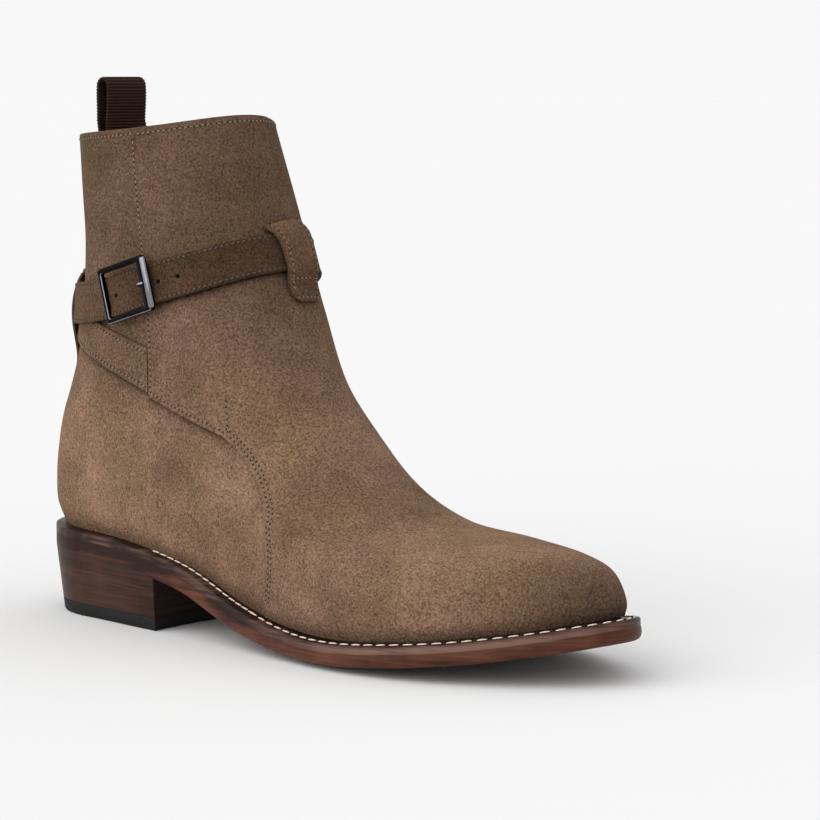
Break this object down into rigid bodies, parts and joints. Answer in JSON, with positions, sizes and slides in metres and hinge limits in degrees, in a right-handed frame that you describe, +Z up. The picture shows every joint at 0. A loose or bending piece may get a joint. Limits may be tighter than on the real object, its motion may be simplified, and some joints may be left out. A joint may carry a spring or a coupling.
{
  "type": "suede ankle boot",
  "caption": "Suede ankle boot with a pointed round toe, a buckled strap held by loops round the ankle, a webbing pull loop and a stitched leather sole on a stacked block heel.",
  "frame": {"origin": "on the floor under the middle of the boot's length and width", "axes": "+X from the heel to the toe, +Y towards the inner side of the foot, +Z up"},
  "size_m": [0.3074, 0.105, 0.227],
  "materials": {
    "suede": "mid-brown suede with a short, mottled nap",
    "strap_suede": "darker brown suede",
    "gunmetal": "dark polished gunmetal",
    "webbing": "dark brown ribbed webbing",
    "insole_leather": "plain tan leather",
    "welt_leather": "dark brown, satin",
    "sole_leather": "reddish brown, polished edge",
    "heel_leather": "stacked lifts, polished",
    "heel_rubber": "matt black rubber"
  },
  "bodies": {
    "root": {"upper": "suede", "heel_band": "suede", "strap": "strap_suede", "keeper_front": "strap_suede", "back_stay": "strap_suede", "buckle_frame": "gunmetal", "buckle_prong": "gunmetal", "pull_loop": "webbing", "insole": "insole_leather", "welt": "welt_leather", "outsole": "sole_leather", "heel_stack": "heel_leather", "heel_top_piece": "heel_rubber"}
  },
  "joints": []
}
